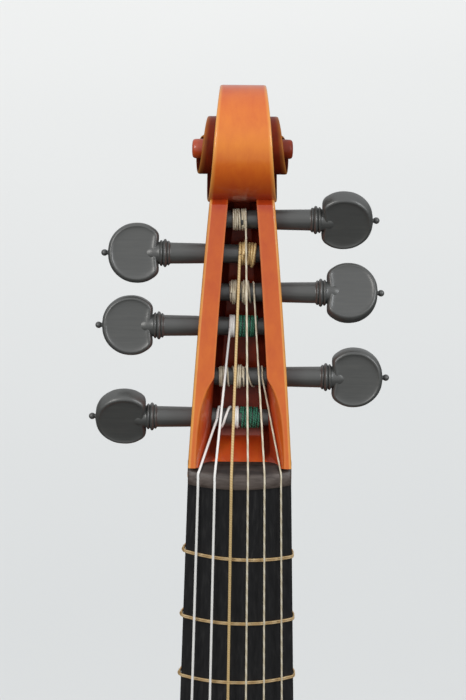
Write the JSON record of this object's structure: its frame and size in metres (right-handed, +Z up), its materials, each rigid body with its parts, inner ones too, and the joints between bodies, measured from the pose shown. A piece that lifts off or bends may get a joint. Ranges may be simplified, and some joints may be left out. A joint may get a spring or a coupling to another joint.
{
  "type": "bass viol",
  "caption": "Six-string bass viol with a carved scroll, friction pegs, tied gut frets, arched belly, flat bent back, bridge and hooked tailpiece.",
  "frame": {"origin": "on the middle line of the neck's back, 12 mm below the nut's playing edge, where a wall hanger carries the instrument", "axes": "+Z up the instrument towards the scroll, square to the flat back's bottom edge; +Y out of the flat back, so the belly faces -Y; +X to the right seen from the front"},
  "size_m": [0.3912, 0.2274, 1.156],
  "materials": {
    "red_brown_varnish": "glossy red-orange oil varnish on maple",
    "varnished_maple": "glossy red-brown varnish on flamed maple",
    "varnished_spruce": "glossy golden-brown varnish on straight-grained spruce",
    "bare_spruce": "bare planed spruce and willow",
    "ebony": "satin oiled ebony",
    "nut_ebony": "worn satin ebony",
    "peg_ebony": "satin black ebony",
    "bare_maple": "unvarnished bridge maple",
    "fret_gut": "tied gut",
    "plain_gut": "polished plain gut",
    "copper_wound": "wound over gut",
    "silver_wound": "wound over gut",
    "green_silk": "green silk lapping"
  },
  "bodies": {
    "root": {"neck_and_head": "red_brown_varnish", "fingerboard": "ebony", "nut": "nut_ebony", "belly_left": "varnished_spruce", "belly_right": "varnished_spruce", "back_plate": "varnished_maple", "rib_lower_left": "varnished_maple", "rib_lower_right": "varnished_maple", "rib_waist_left": "varnished_maple", "rib_waist_right": "varnished_maple", "rib_upper_left": "varnished_maple", "rib_upper_right": "varnished_maple", "neck_block": "bare_spruce", "tail_block": "bare_spruce", "corner_blocks": "bare_spruce", "linings_front": "bare_spruce", "linings_back": "bare_spruce", "bass_bar": "bare_spruce", "soundpost_plate": "bare_spruce", "back_braces": "bare_spruce", "soundpost": "bare_spruce", "bridge": "bare_maple", "tailpiece": "ebony", "hook_bar": "ebony", "fret_1": "fret_gut", "fret_2": "fret_gut", "fret_3": "fret_gut", "fret_4": "fret_gut", "fret_5": "fret_gut", "fret_6": "fret_gut", "fret_7": "fret_gut", "string_1": "plain_gut", "string_2": "plain_gut", "string_3": "plain_gut", "string_4": "copper_wound", "string_5": "silver_wound", "string_6": "silver_wound"},
    "peg_1": {"peg_1": "peg_ebony", "winding_1": "plain_gut"},
    "peg_2": {"peg_2": "peg_ebony", "winding_2": "plain_gut"},
    "peg_3": {"peg_3": "peg_ebony", "winding_3": "plain_gut"},
    "peg_4": {"peg_4": "peg_ebony", "winding_4": "copper_wound"},
    "peg_5": {"peg_5": "peg_ebony", "winding_5": "green_silk"},
    "peg_6": {"peg_6": "peg_ebony", "winding_6": "green_silk"}
  },
  "joints": [
    {"name": "peg_1_turn", "type": "hinge", "parent": "root", "child": "peg_1", "pos_m": [0, 0.01123, 0.05615], "axis": [1, 0, 0], "continuous": true},
    {"name": "peg_2_turn", "type": "hinge", "parent": "root", "child": "peg_2", "pos_m": [0, 0.02913, 0.09305], "axis": [1, 0, 0], "continuous": true},
    {"name": "peg_3_turn", "type": "hinge", "parent": "root", "child": "peg_3", "pos_m": [0, 0.04442, 0.12456], "axis": [1, 0, 0], "continuous": true},
    {"name": "peg_4_turn", "type": "hinge", "parent": "root", "child": "peg_4", "pos_m": [0, 0.03721, 0.10971], "axis": [-1, 0, 0], "continuous": true},
    {"name": "peg_5_turn", "type": "hinge", "parent": "root", "child": "peg_5", "pos_m": [0, 0.02193, 0.0782], "axis": [-1, 0, 0], "continuous": true},
    {"name": "peg_6_turn", "type": "hinge", "parent": "root", "child": "peg_6", "pos_m": [0, 0.00249, 0.03815], "axis": [-1, 0, 0], "continuous": true}
  ]
}
